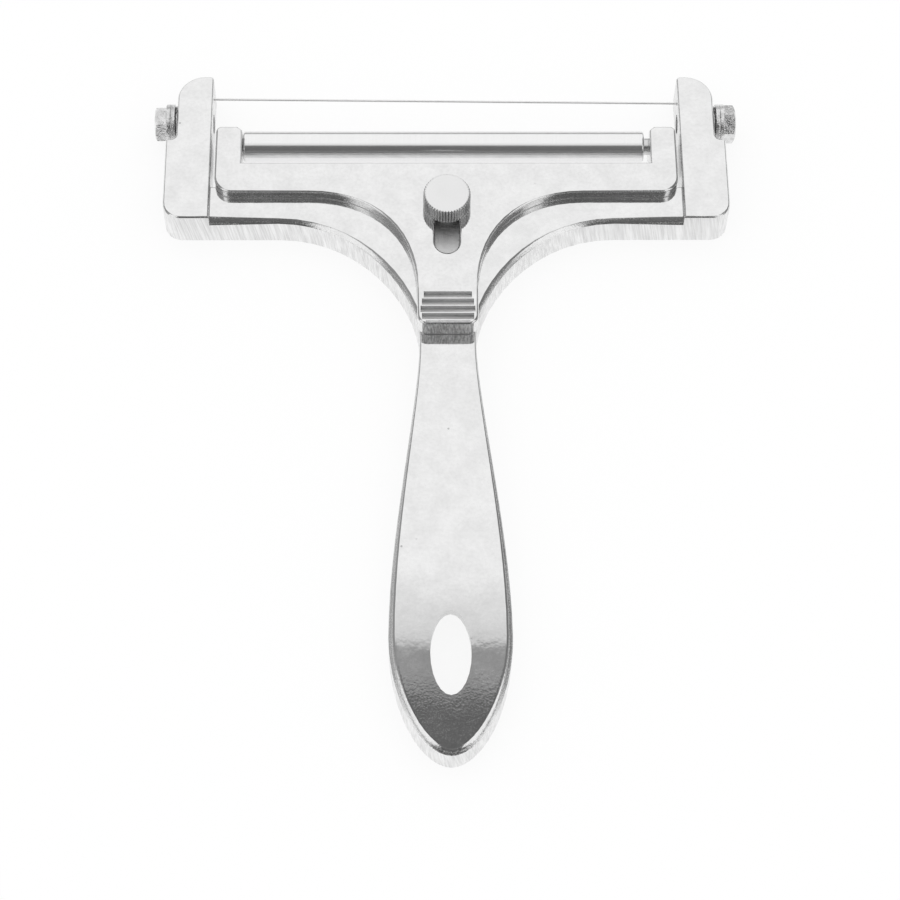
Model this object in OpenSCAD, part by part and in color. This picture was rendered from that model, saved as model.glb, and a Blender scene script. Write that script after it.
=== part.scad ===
// Adjustable wire cheese slicer.
// It lies on the open back of its frame: +Z is up, out of the face,
// +Y runs from the handle's end to the tips of the arms, and X is the width.
// The origin is at the middle of the length and width, on the back face.

/* [Frame casting] */
// Length from the handle's end to the tips of the arms
overall_l = 150; // [140:1:165]
// Clear width between the two arms
throat_w = 96; // [84:1:110]
// Thickness of the handle and the yoke
frame_t = 7; // [6:0.1:8]
// Thickness of the wall round the hollow back
wall_t = 1.8; // [1.2:0.1:2.4]
// Thickness of the face over the hollow back
skin_t = 2; // [1.4:0.1:2.6]

/* [Arms] */
// Thickness of an arm
arm_t = 8.5; // [7.8:0.1:10]
// Length of an arm, from the foot of the yoke to the tip
arm_l = 34.9; // [32:0.1:40]
// Width of an arm beside its screw
arm_w = 7.3; // [6.5:0.1:9]
// How far an arm steps out below its screw
arm_step = 2.1; // [1:0.1:2.6]
// Distance from the tip down to the step
step_drop = 15.7; // [14:0.1:18]
// Radius of the outer corner at the tip
tip_r = 5.6; // [3:0.1:6]
// Radius of the outer corner at the foot
foot_r = 3.6; // [2:0.1:5]
// Rounding of an arm's front edge
arm_edge = 0.4; // [0.2:0.05:0.6]

/* [Handle and yoke] */
// Length of the handle, from its end to the narrowest place
handle_l = 87; // [78:1:92]
// Widest width of the handle
handle_w = 23.2; // [18:0.1:28]
// Length of the handle's rounded end
handle_round = 23.6; // [18:0.1:30]
// Width of the handle at its narrowest place
neck_w = 11.1; // [9:0.1:13]
// Height of the yoke beside an arm
yoke_w = 8.6; // [8:0.1:12]
// Distance from the centreline to where the yoke's lower edge turns straight
yoke_turn = 34; // [28:1:38]
// Rounding of the front edge at the handle's end
edge_end = 1.5; // [0.8:0.05:1.7]
// Rounding of the front edge at the neck
edge_neck = 0.35; // [0.2:0.05:0.8]
// Rounding of the front edge along the yoke's lower side
edge_yoke = 1.15; // [0.6:0.05:1.4]
// Rounding of that edge beside an arm
edge_foot = 1.8; // [1:0.05:1.9]
// Rounding of the front edge along the yoke's upper side
edge_upper = 0.6; // [0.3:0.05:1]
// Width of the hole for hanging
hang_w = 7.7; // [6:0.1:10]
// Length of the hole for hanging
hang_l = 17.2; // [12:0.1:20]
// Distance from the handle's end to the middle of that hole
hang_y = 20.1; // [17:0.1:26]

/* [Roller carriage] */
// Thickness of the carriage's plate
plate_t = 2.3; // [1.8:0.1:3]
// Gap between the carriage and each arm
side_gap = 0.9; // [0.5:0.1:1.5]
// How far the plate stands above the yoke's upper edge
plate_rise = 4.3; // [3.5:0.1:5]
// Height of the plate's cross band
band_w = 7.2; // [5:0.1:8]
// Length of the plate from its upper edge to the end of its tongue
tongue_l = 39.5; // [34:0.1:42]
// Width of the tongue
tongue_w = 12.1; // [9:0.1:14]
// Width of an ear
ear_w = 5.4; // [4:0.1:6]
// Distance from the axle up to the tip of an ear
ear_top = 2.3; // [2:0.1:3]
// Depth of an ear below and above the axle
ear_half = 4; // [3:0.1:4]
// Radius of the plate's outer corner
band_r = 3.5; // [2:0.1:4.5]
// Rounding of the plate's front edge
plate_edge = 0.5; // [0.3:0.05:0.6]
// Chamfer of the plate's back edge
plate_foot = 0.25; // [0.1:0.05:0.4]
// How much thicker the tongue is under the thumb
grip_rise = 1.9; // [1:0.1:2.2]
// Number of ridges under the thumb
ridge_count = 5; // [3:1:5]
// Distance from one ridge to the next
ridge_pitch = 1.66; // [1.5:0.02:1.7]
// Height of a ridge
ridge_h = 0.65; // [0.4:0.05:0.8]
// Length of the longest ridge
ridge_l = 10.8; // [8:0.1:11]

/* [Roller] */
// Diameter of the roller
roller_d = 6.4; // [5:0.1:7]
// Play of the roller between the ears, both ends together
roller_play = 1.15; // [0.6:0.05:8]
// Diameter of the axle
axle_d = 3.5; // [2.5:0.1:4]
// Distance from the yoke's upper edge to the axle
roller_rise = 10.9; // [10:0.1:12]
// Height of the axle above the back face
roller_z = 5.2; // [4.8:0.1:5.2]

/* [Thumbscrew] */
// Diameter of the thumbscrew's head
knob_d = 9.5; // [8:0.1:12]
// Height of the head
knob_h = 4; // [3:0.1:7]
// Chamfer at the top and foot of the head
knob_bevel = 0.5; // [0.3:0.05:0.8]
// Number of grooves in the head's rim
knurl_count = 48; // [24:1:48]
// Depth of a groove
knurl_depth = 0.3; // [0.1:0.02:0.34]
// Diameter of the thumbscrew's shank
knob_shank_d = 4.5; // [4:0.1:5]
// Distance from the yoke's upper edge to the thumbscrew
knob_drop = 6; // [5.8:0.1:7]
// Room in the slot below the shank, for moving the roller to the wire
slot_below = 9; // [7:0.1:9.3]
// Room in the slot above the shank
slot_above = 2.4; // [2.2:0.1:3]
// Diameter of the boss behind the thumbscrew
boss_d = 9; // [7.5:0.1:10]

/* [Wire and its screws] */
// Diameter of the cutting wire
wire_d = 0.5; // [0.4:0.05:0.8]
// Distance from the arm's tip to the wire at the left arm
wire_drop_left = 4.7; // [4.5:0.1:5]
// Distance from the arm's tip to the wire at the right arm
wire_drop_right = 5.7; // [4.5:0.1:5.8]
// Height of the wire above the back face
wire_z = 6.8; // [6.6:0.1:7.2]
// Diameter of a wire screw
screw_d = 3.9; // [3:0.1:4]
// Distance from the arm's tip to the wire screw
screw_drop = 9.1; // [9:0.1:9.8]
// Height of the wire screw above the back face
screw_z = 4.2; // [4.2:0.1:4.6]
// Width across the flats of a hexagon head
hex_af = 6.8; // [6:0.1:7]
// Thickness of a hexagon head
hex_t = 2.35; // [2:0.1:3]
// How far the left head is turned
hex_turn_left = 36; // [0:1:60]
// How far the right head is turned
hex_turn_right = 66; // [0:1:90]
// Diameter of a washer
washer_d = 8.2; // [7:0.1:8.3]
// Thickness of a washer
washer_t = 0.9; // [0.5:0.1:1]

/* [Fits] */
// Radial clearance of a turning or screwed fit
run_gap = 0.05; // [0.03:0.01:0.1]
// Clearance of the shank in the slot, on each side
slot_gap = 0.2; // [0.15:0.05:0.4]
// Clearance of the wire in its hole and round its screw
wire_gap = 0.1; // [0.05:0.05:0.2]
// Radial clearance of a washer on its screw
washer_gap = 0.2; // [0.1:0.05:0.3]

/* [Hidden] */

// Overrun of every cut
cut = 0.5;
// The frame's front edge: the share of its width that is a bevel, and the bevel's angles
edge_bevel_share = 0.5;
edge_lean = 32;
edge_knee = 46;
// Steps in a bevel, in a rounded front edge, in a small arc and in a long curve
bevel_steps = 2;
edge_steps = 4;
arc_steps = 6;
curve_steps = 14;
$fn = 48;

// Places along the length
y_tip = overall_l / 2;
y_end = -overall_l / 2;
y_neck = y_end + handle_l;
y_foot = y_tip - arm_l;
y_yoke = y_foot + yoke_w;
y_step = y_tip - step_drop;
y_hang = y_end + hang_y;
y_knob = y_yoke - knob_drop;
y_screw = y_tip - screw_drop;
y_roller = y_yoke + roller_rise;
y_plate = y_yoke + plate_rise;
y_band = y_plate - band_w;
y_tongue = y_plate - tongue_l;
y_ear = y_roller + ear_top;

// Play of the wire between its arm and the washers, on each side
wire_slack = 0.02;
// Places across the width, from the centreline
x_in = throat_w / 2;
x_arm = x_in + arm_w;
x_foot = x_arm + arm_step;
x_head = x_arm + 2 * washer_t + wire_d + 2 * wire_slack;
x_loop = x_arm + wire_slack + wire_d / 2;
x_ear = x_in - side_gap;
x_gap = x_ear - ear_w;
roller_l = 2 * x_gap - roller_play;
// How far the loose roller lies to the left, as a share of its play
float_share = 0.42;

// Heights
z_plate = frame_t + plate_t;
z_knob = z_plate + knob_h;

// Small roundings of the arms and the carriage
inner_r = 0.8;
step_r = arm_step / 2;
ear_r = 1.2;
ear_bevel = 1;
ear_foot_r = 3;
tongue_r = 2;
slot_edge = 0.6;
slot_turns = [22.5, 45, 67.5];
// How far the boss and the shank stay above the back face
boss_lift = 0.8;
shank_lift = 1.2;
// How far the bore of a wire screw runs past the screw
screw_short = 1.4;
// How far the axle stays inside each ear
axle_short = 0.3;
// Bevels of the roller and of a hexagon head
roller_bevel = 0.4;
hex_bevel = 0.45;
// Bend of the wire where it leaves an arm, and length of its loop
wire_bend_r = 0.3;
wire_wrap = 300;
wire_sides = 10;
// The wire leaves its arm under the washer's rim: its distance from the screw, and the direction
exit_r = washer_d / 2 - wire_d;
exit_turn = 30;
// How far above the neck the front edge has the yoke's rounding
leg_start = 7;
// Exponent of the handle's rounded end: 2 is an ellipse
end_power = 1.85;
// Pulls of the two long curves towards their ends, as shares of their spans
handle_pull_share = [0.34, 0.2];
leg_pull_share = [0.41, 0.6];
band_pull_share = [0.58, 0.64];
// Width at which the band's lower edge turns straight, and where the tongue starts to widen
band_turn = 28;
tongue_straight = 9.2;
// Length of each ridge as a share of the longest, from the tongue's end upwards
ridge_share = [0.81, 0.95, 1, 0.95, 0.88, 0.8];
// Width of a ridge's crest and of its steep side, and how far a groove's cut runs past the crests
ridge_crest = 0.25;
ridge_lean = 0.15;
groove_over = 0.05;
// How much thinner an ear's block is than the plate above it, on each side
block_inset = 0.08;
// Distance from the tongue's end to the first ridge's steep side
ridge_start = 0.75;
// Length of the tongue's thick end, and room between the slot and the ramp that leads up to it
grip_flat = 7.9;
ramp_room = 0.4;
y_grip = y_tongue + grip_flat;
y_ramp = y_knob - slot_below - knob_shank_d / 2 - slot_gap - slot_edge - ramp_room;
z_grip = z_plate + grip_rise;

// Points of an arc round c
function arc(c, r, from, to, steps) =
    [for (i = [0:steps]) let (a = from + (to - from) * i / steps) c + r * [cos(a), sin(a)]];

// Points of a cubic curve, without its first point
function curve(a, b, c, d, steps) =
    [for (i = [1:steps]) let (t = i / steps, u = 1 - t)
        u * u * u * a + 3 * u * u * t * b + 3 * u * t * t * c + t * t * t * d];

// A half outline on the right, closed by its mirror image; the first point lies on the centreline
function both_sides(half) =
    concat(half, [for (i = [len(half) - 1:-1:1]) [-half[i].x, half[i].y]]);

function unit(v) = v / norm(v);

// The inward shift of corner i that moves both its edges by one unit
function inward(p, i) =
    let (
        n = len(p),
        u = unit(p[i] - p[(i + n - 1) % n]),
        v = unit(p[(i + 1) % n] - p[i]),
        m = [-u.y - v.y, u.x + v.x]
    )
    m / (1 + u * v);

// An outline moved inwards by d all round
function inset(p, d) = [for (i = [0:len(p) - 1]) p[i] + d * inward(p, i)];

// A run of whole numbers
function run(from, to) = [for (i = [from:to]) i];

// Cross strips between corners first and last of an outline and their mirror images
function strips(n, first, last) =
    [for (i = [first:last - 1]) i == 0 ? [0, 1, n - 1] : [i, i + 1, n - i - 1, n - i]];

// The steps of a slab's front edge, from its wall up to its face, for an edge of width 1:
// how far each lies inwards, and how far below the face. The edge leaves the wall at the angle
// lean, a share of its width is a bevel that bends slowly up to the angle knee, and the rest
// is round.
function edge_form(bevel_share, lean, knee) =
    let (
        r = (1 - bevel_share) / cos(knee),
        wide_r = bevel_share > 0 ? bevel_share / (cos(lean) - cos(knee)) : 0
    )
    concat(
        [for (k = [0:bevel_steps - 1])
            if (bevel_share > 0)
                let (a = lean + (knee - lean) * k / bevel_steps)
                [wide_r * (cos(lean) - cos(a)),
                 wide_r * (sin(knee) - sin(a)) + r * (1 - sin(knee))]],
        [for (k = [0:edge_steps])
            let (a = knee + (90 - knee) * k / edge_steps)
            [1 - r * cos(a), r * (1 - sin(a))]]
    );

// The frame's front edge is mostly a bevel, and the carriage's is round
frame_form = edge_form(edge_bevel_share, edge_lean, edge_knee);
plate_form = edge_form(0, 0, 0);

// A slab with a formed front edge. high holds its height at each corner of the outline p,
// and e the width of the edge there. caps holds the corners of each face of its top and
// bottom, and foot chamfers its back edge.
module cast_slab(p, low, high, e, form, caps, foot = 0) {
    n = len(p);
    base = foot > 0 ? [[foot, low], [0, low + foot]] : [[0, low]];
    rings = len(base) + len(form);
    ring_points = concat(
        [for (b = base)
            for (i = [0:n - 1])
                let (q = p[i] + b[0] * inward(p, i))
                [q.x, q.y, b[1]]],
        [for (f = form)
            for (i = [0:n - 1])
                let (q = p[i] + e[i] * f[0] * inward(p, i))
                [q.x, q.y, high[i] - e[i] * f[1]]]
    );
    walls = [
        for (k = [0:rings - 2])
            for (i = [0:n - 1])
                let (a = k * n + i, b = k * n + (i + 1) % n)
                each [[b, a, a + n], [b, a + n, b + n]]
    ];
    top = [for (cap = caps) [for (i = [len(cap) - 1:-1:0]) (rings - 1) * n + cap[i]]];
    polyhedron(ring_points, concat(walls, caps, top));
}

// Right half of the handle and the yoke, from the handle's end to x_root inside the arm
function body_half(x_root) =
    let (
        half_w = handle_w / 2,
        y_wide = y_end + handle_round,
        grip = y_neck - y_wide,
        neck = neck_w / 2,
        leg = y_foot - y_neck,
        spread = yoke_turn - neck
    )
    concat(
        [for (i = [0:curve_steps])
            let (a = 90 * i / curve_steps)
            [half_w * pow(sin(a), 2 / end_power),
             y_wide - handle_round * pow(cos(a), 2 / end_power)]],
        curve(
            [half_w, y_wide],
            [half_w, y_wide + grip * handle_pull_share[0]],
            [neck, y_neck - grip * handle_pull_share[1]],
            [neck, y_neck],
            curve_steps
        ),
        curve(
            [neck, y_neck],
            [neck, y_neck + leg * leg_pull_share[0]],
            [yoke_turn - spread * leg_pull_share[1], y_foot],
            [yoke_turn, y_foot],
            curve_steps
        ),
        [for (i = [1:arc_steps]) [yoke_turn + (x_root - yoke_turn) * i / arc_steps, y_foot]],
        [[x_root, y_yoke]]
    );

// Rounding of the front edge at a point of the handle or the yoke
function body_edge(p) =
    p.y > y_foot
        ? edge_upper
        : abs(p.x) > yoke_turn
            ? lookup(abs(p.x), [[yoke_turn, edge_yoke], [x_in, edge_foot]])
            : lookup(p.y, [
                [y_hang, edge_end],
                [y_neck, edge_neck],
                [y_neck + leg_start, edge_yoke]
            ]);

// Outline of the right arm
function arm_outline() = concat(
    [[x_in, y_foot]],
    arc([x_foot - foot_r, y_foot + foot_r], foot_r, -90, 0, arc_steps),
    arc([x_foot - step_r / 2, y_step - step_r / 2], step_r / 2, 0, 90, arc_steps),
    arc([x_arm + step_r, y_step + step_r], step_r, -90, -180, arc_steps),
    arc([x_arm - tip_r, y_tip - tip_r], tip_r, 0, 90, 2 * arc_steps),
    arc([x_in + inner_r, y_tip - inner_r], inner_r, 90, 180, arc_steps)
);

module arm() {
    p = arm_outline();
    e = [for (q = p) arm_edge];
    cast_slab(p, 0, [for (q = p) arm_t], e, frame_form, [run(0, len(p) - 1)]);
}

// The handle and the yoke, still without their hollow
module body() {
    p = both_sides(body_half(x_in + arm_w / 2));
    n = len(p);
    straight = 3 * curve_steps;
    caps = concat(strips(n, 0, straight), [run(straight, n - straight)]);
    e = [for (q = p) body_edge(q)];
    cast_slab(p, 0, [for (q = p) frame_t], e, frame_form, caps);
}

// The hollow of the casting, open at the back
module back_hollow() {
    p = inset(both_sides(body_half(x_in)), wall_t);
    translate([0, 0, -cut])
        linear_extrude(frame_t - skin_t + cut)
            polygon(p);
}

module hang_hole() {
    p = [for (i = [0:4 * arc_steps - 1])
        let (a = 90 * i / arc_steps)
        [hang_w / 2 * cos(a), y_hang + hang_l / 2 * sin(a)]];
    translate([0, 0, -cut])
        linear_extrude(frame_t + 2 * cut)
            polygon(p);
}

module along_x(x, y, z) {
    translate([x, y, z])
        rotate([0, 90, 0])
            children();
}

// The whole casting as one skin, before its bores are drilled
module frame_casting() {
    resize([0, 0, 0])
        difference() {
            union() {
                difference() {
                    body();
                    back_hollow();
                }
                arm();
                mirror([1, 0, 0])
                    arm();
                translate([0, y_knob, boss_lift])
                    cylinder(h = frame_t - skin_t / 2 - boss_lift, d = boss_d);
            }
            hang_hole();
        }
}

module frame() {
    color("gainsboro")
        difference() {
            frame_casting();
            translate([0, y_knob, -cut])
                cylinder(h = frame_t + 2 * cut, d = knob_shank_d + 2 * run_gap);
            for (side = [-1, 1])
                along_x(side > 0 ? x_in - cut : -x_arm - cut, y_screw, screw_z)
                    cylinder(h = arm_w + 2 * cut, d = screw_d + 2 * run_gap);
            wire_hole(-1);
            wire_hole(1);
        }
}

// Right half of the carriage's plate, from the tongue's end
function plate_half() =
    let (
        half = tongue_w / 2,
        y_start = y_tongue + tongue_straight,
        rise = y_band - y_start,
        spread = band_turn - half
    )
    concat(
        [[0, y_tongue]],
        arc([half - tongue_r, y_tongue + tongue_r], tongue_r, -90, 0, arc_steps),
        [[half, y_grip], [half, y_start]],
        curve(
            [half, y_start],
            [half, y_start + rise * band_pull_share[0]],
            [band_turn - spread * band_pull_share[1], y_band],
            [band_turn, y_band],
            curve_steps
        ),
        arc([x_ear - band_r, y_band + band_r], band_r, -90, 0, arc_steps),
        arc([x_ear - ear_r, y_ear - ear_r], ear_r, 0, 90, arc_steps),
        [
            [x_gap + ear_bevel, y_ear],
            [x_gap, y_ear - ear_bevel],
            [x_gap, y_plate]
        ]
    );

// The plate, still without its slot
module plate() {
    p = both_sides(plate_half());
    n = len(p);
    band = arc_steps + curve_steps + 3;
    side = band + arc_steps + 1;
    corner = side + arc_steps + 4;
    caps = concat(
        strips(n, 0, band),
        [concat(run(band, side), run(corner, n - corner), run(n - side, n - band))],
        [run(side, corner)],
        [run(n - corner, n - side)]
    );
    high = [for (q = p) z_plate + grip_rise * min(1, max(0, (y_ramp - q.y) / (y_ramp - y_grip)))];
    e = [for (q = p) plate_edge];
    cast_slab(p, frame_t, high, e, plate_form, caps, plate_foot);
}

// The part of an ear that reaches down behind the plate, with its corners rounded
module ear_block() {
    low = roller_z - ear_half;
    high = frame_t + plate_t / 2;
    d = block_inset;
    plan = [
        [x_gap + d, y_plate + d],
        [x_ear - d, y_plate + d],
        [x_ear - d, y_ear - ear_r],
        [x_ear - ear_r, y_ear - d],
        [x_gap + ear_bevel, y_ear - d],
        [x_gap + d, y_ear - ear_bevel]
    ];
    side = concat(
        [[-high, y_ear + cut], [-high, y_plate - cut]],
        arc([-low - ear_foot_r, y_plate + d + ear_foot_r], ear_foot_r, -90, 0, arc_steps),
        arc([-low - ear_foot_r, y_ear - d - ear_foot_r], ear_foot_r, 0, 90, arc_steps)
    );
    intersection() {
        translate([0, 0, low])
            linear_extrude(high - low)
                polygon(plan);
        along_x(x_gap - cut, 0, 0)
            linear_extrude(ear_w + 2 * cut)
                polygon(side);
    }
}

// Outline of a bar with round ends, its middle at the origin, along the given axis
function round_bar(half, r, steps) = concat(
    arc([half, 0], r, -90, 90, steps),
    arc([-half, 0], r, 90, 270, steps)
);

// The slot for the thumbscrew's shank, with its front edge rounded in three steps
module slot() {
    half = (slot_below + slot_above) / 2;
    r = knob_shank_d / 2 + slot_gap;
    translate([0, y_knob + (slot_above - slot_below) / 2, 0])
        rotate([0, 0, 90]) {
            translate([0, 0, frame_t - cut])
                linear_extrude(plate_t + 2 * cut)
                    polygon(round_bar(half, r, 2 * arc_steps));
            for (t = slot_turns)
                flared_cut(
                    half,
                    r,
                    r + slot_edge + (sin(t) * (cut + slot_edge) - slot_edge) / cos(t),
                    z_plate - slot_edge * (1 - tan(t / 2)),
                    z_plate + cut
                );
        }
}

// A bar-shaped cut that widens from r_low at the height low to r_high at the height high
module flared_cut(half, r_low, r_high, low, high) {
    steps = 2 * arc_steps;
    p = round_bar(half, r_low, steps);
    q = round_bar(half, r_high, steps);
    n = len(p);
    points = concat(
        [for (a = p) [a.x, a.y, low]],
        [for (a = q) [a.x, a.y, high]]
    );
    walls = [for (i = [0:n - 1])
        let (j = (i + 1) % n)
        each [[j, i, i + n], [j, i + n, j + n]]];
    polyhedron(points, concat(
        walls,
        [[for (i = [0:n - 1]) i]],
        [[for (i = [n - 1:-1:0]) n + i]]
    ));
}

// The grooves between the ridges under the thumb, each with its steep side towards the wire
module grooves() {
    reach = (ridge_h + groove_over) / ridge_h;
    slope = ridge_pitch - ridge_crest - ridge_lean;
    for (i = [0:ridge_count - 1]) {
        length = ridge_l * ridge_share[i];
        along_x(-length / 2, y_tongue + ridge_start + i * ridge_pitch - ridge_lean, z_grip - ridge_h)
            linear_extrude(length)
                polygon([
                    [0, 0],
                    [-reach * ridge_h, reach * ridge_lean],
                    [-reach * ridge_h, -reach * slope]
                ]);
    }
}

// The whole casting as one skin, before its slot and its bore are cut
module carriage_casting() {
    resize([0, 0, 0])
        union() {
            difference() {
                plate();
                grooves();
            }
            ear_block();
            mirror([1, 0, 0])
                ear_block();
        }
}

module roller_carriage() {
    color("silver")
        difference() {
            carriage_casting();
            slot();
            along_x(-x_ear - cut, y_roller, roller_z)
                cylinder(h = 2 * x_ear + 2 * cut, d = axle_d);
        }
}

module roller() {
    r = roller_d / 2;
    bore_r = axle_d / 2 + run_gap;
    color("whitesmoke")
        along_x(-roller_l / 2 - float_share * roller_play, y_roller, roller_z)
            rotate_extrude()
                polygon([
                    [bore_r, 0],
                    [r - roller_bevel, 0],
                    [r, roller_bevel],
                    [r, roller_l - roller_bevel],
                    [r - roller_bevel, roller_l],
                    [bore_r, roller_l]
                ]);
}

module roller_axle() {
    half = x_ear - axle_short;
    color("darkgray")
        along_x(-half, y_roller, roller_z)
            cylinder(h = 2 * half, d = axle_d);
}

module thumbscrew() {
    r = knob_d / 2;
    color("lightgray")
        translate([0, y_knob, 0])
            union() {
                intersection() {
                    rotate_extrude()
                        polygon([
                            [0, z_plate],
                            [r - knob_bevel, z_plate],
                            [r, z_plate + knob_bevel],
                            [r, z_knob - knob_bevel],
                            [r - knob_bevel, z_knob],
                            [0, z_knob]
                        ]);
                    translate([0, 0, z_plate - cut])
                        linear_extrude(knob_h + 2 * cut)
                            polygon([for (i = [0:2 * knurl_count - 1])
                                let (a = 180 * i / knurl_count)
                                (i % 2 == 0 ? r + knurl_depth / 2 : r - knurl_depth)
                                    * [cos(a), sin(a)]]);
                }
                translate([0, 0, shank_lift])
                    cylinder(h = z_plate - shank_lift + knob_bevel, d = knob_shank_d);
            }
}

// Where the wire enters an arm, and where it starts to bend towards its screw
function wire_in(side) =
    [side * x_in, y_tip - (side > 0 ? wire_drop_right : wire_drop_left), wire_z];

function wire_out(side) = [
    side * (x_loop - wire_bend_r),
    y_screw + exit_r * cos(exit_turn),
    screw_z + exit_r * sin(exit_turn)
];

// The slanting hole that takes the wire through an arm
module wire_hole(side) {
    way = wire_out(side) - wire_in(side);
    translate(wire_in(side) - cut * unit(way))
        rotate([0, acos(way.z / norm(way)), atan2(way.y, way.x)])
            cylinder(h = norm(way) + 2 * cut, d = wire_d + 4 * wire_gap);
}

// Half of the wire's route: through an arm, to its screw and round it
function wire_half(side) =
    let (
        out = wire_out(side),
        from = [out.y, out.z],
        centre = [y_screw, screw_z],
        r = screw_d / 2 + wire_gap + wire_d / 2,
        away = centre - from,
        lean = asin(r / norm(away)),
        heading = atan2(away.y, away.x) + lean,
        aim = [cos(heading), sin(heading)],
        bend = [for (i = [0:arc_steps])
            let (a = 90 * i / arc_steps)
            [side * (x_loop - wire_bend_r * (1 - sin(a))),
             from.x + wire_bend_r * (1 - cos(a)) * aim.x,
             from.y + wire_bend_r * (1 - cos(a)) * aim.y]],
        loop = [for (i = [0:3 * arc_steps])
            let (a = heading + 90 - wire_wrap * i / (3 * arc_steps))
            [side * x_loop, centre.x + r * cos(a), centre.y + r * sin(a)]]
    )
    concat([wire_in(side)], bend, loop);

// Sideways direction of the tube at each point, carried along without twist
function carried(route, i, side_way) =
    i >= len(route)
        ? []
        : let (
            last = len(route) - 1,
            along = unit(route[min(i + 1, last)] - route[max(i - 1, 0)]),
            flat = unit(side_way - along * (side_way * along))
        )
        concat([[along, flat]], carried(route, i + 1, flat));

// A round tube along a route
module tube_along(route, d, sides, side_way) {
    n = len(route);
    ways = carried(route, 0, side_way);
    skin = [
        for (i = [0:n - 1])
            for (j = [0:sides - 1])
                let (a = 360 * j / sides, w = ways[i])
                route[i] + d / 2 * (cos(a) * w[1] + sin(a) * cross(w[0], w[1]))
    ];
    walls = [
        for (i = [0:n - 2])
            for (j = [0:sides - 1])
                let (a = i * sides + j, b = i * sides + (j + 1) % sides)
                each [[a, a + sides, b], [b, a + sides, b + sides]]
    ];
    start = [[for (j = [0:sides - 1]) j]];
    end = [[for (j = [sides - 1:-1:0]) (n - 1) * sides + j]];
    polyhedron(skin, concat(walls, start, end));
}

module cutting_wire() {
    left = wire_half(-1);
    right = wire_half(1);
    route = concat([for (i = [len(left) - 1:-1:0]) left[i]], right);
    color("dimgray")
        tube_along(route, wire_d, wire_sides, [1, 0, 0]);
}

// A hexagon head screw along +X, its head's inner face at x_head
module wire_screw(turn) {
    corner = hex_af / 2 / cos(30);
    color("lightsteelblue")
        union() {
            intersection() {
                along_x(x_head, y_screw, screw_z)
                    rotate([0, 0, turn])
                        cylinder(h = hex_t, r = corner, $fn = 6);
                along_x(x_head, y_screw, screw_z)
                    rotate_extrude()
                        polygon([
                            [0, 0],
                            [corner, 0],
                            [corner, hex_t - hex_bevel],
                            [corner - 2 * hex_bevel, hex_t],
                            [0, hex_t]
                        ]);
            }
            along_x(x_in + screw_short, y_screw, screw_z)
                cylinder(h = x_head - x_in - screw_short + hex_bevel, d = screw_d);
        }
}

// A washer on the screw, its inner face at x
module washer(x) {
    color("gray")
        along_x(x, y_screw, screw_z)
            difference() {
                cylinder(h = washer_t, d = washer_d);
                translate([0, 0, -cut])
                    cylinder(h = washer_t + 2 * cut, d = screw_d + 2 * washer_gap);
            }
}

module left_wire_screw() {
    mirror([1, 0, 0])
        wire_screw(hex_turn_left);
}

module left_outer_washer() {
    mirror([1, 0, 0])
        washer(x_head - washer_t);
}

module left_inner_washer() {
    mirror([1, 0, 0])
        washer(x_head - 2 * washer_t);
}

module right_wire_screw() {
    wire_screw(hex_turn_right);
}

module right_outer_washer() {
    washer(x_head - washer_t);
}

module right_inner_washer() {
    washer(x_head - 2 * washer_t);
}

frame();
roller_carriage();
roller();
roller_axle();
thumbscrew();
cutting_wire();
left_wire_screw();
left_outer_washer();
left_inner_washer();
right_wire_screw();
right_outer_washer();
right_inner_washer();
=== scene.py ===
import math

import bmesh
import bpy
from mathutils import Matrix, Vector


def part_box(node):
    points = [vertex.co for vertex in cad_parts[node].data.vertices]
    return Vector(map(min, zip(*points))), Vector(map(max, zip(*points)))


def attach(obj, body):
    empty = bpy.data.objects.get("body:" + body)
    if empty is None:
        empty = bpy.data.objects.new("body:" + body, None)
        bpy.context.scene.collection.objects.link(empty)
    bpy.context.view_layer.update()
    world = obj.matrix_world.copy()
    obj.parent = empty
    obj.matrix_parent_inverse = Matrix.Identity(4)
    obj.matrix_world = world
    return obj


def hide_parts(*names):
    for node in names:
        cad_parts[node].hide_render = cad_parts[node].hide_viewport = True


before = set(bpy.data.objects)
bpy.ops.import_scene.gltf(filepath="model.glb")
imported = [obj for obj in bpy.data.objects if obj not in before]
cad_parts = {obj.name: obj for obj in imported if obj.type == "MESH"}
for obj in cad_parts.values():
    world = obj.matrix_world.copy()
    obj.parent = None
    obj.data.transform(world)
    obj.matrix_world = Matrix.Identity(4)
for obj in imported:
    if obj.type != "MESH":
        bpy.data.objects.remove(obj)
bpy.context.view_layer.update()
scene = bpy.context.scene
scene.view_settings.view_transform = "Standard"
mm = 0.001
print("loaded", len(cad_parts), "CAD nodes")


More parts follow.
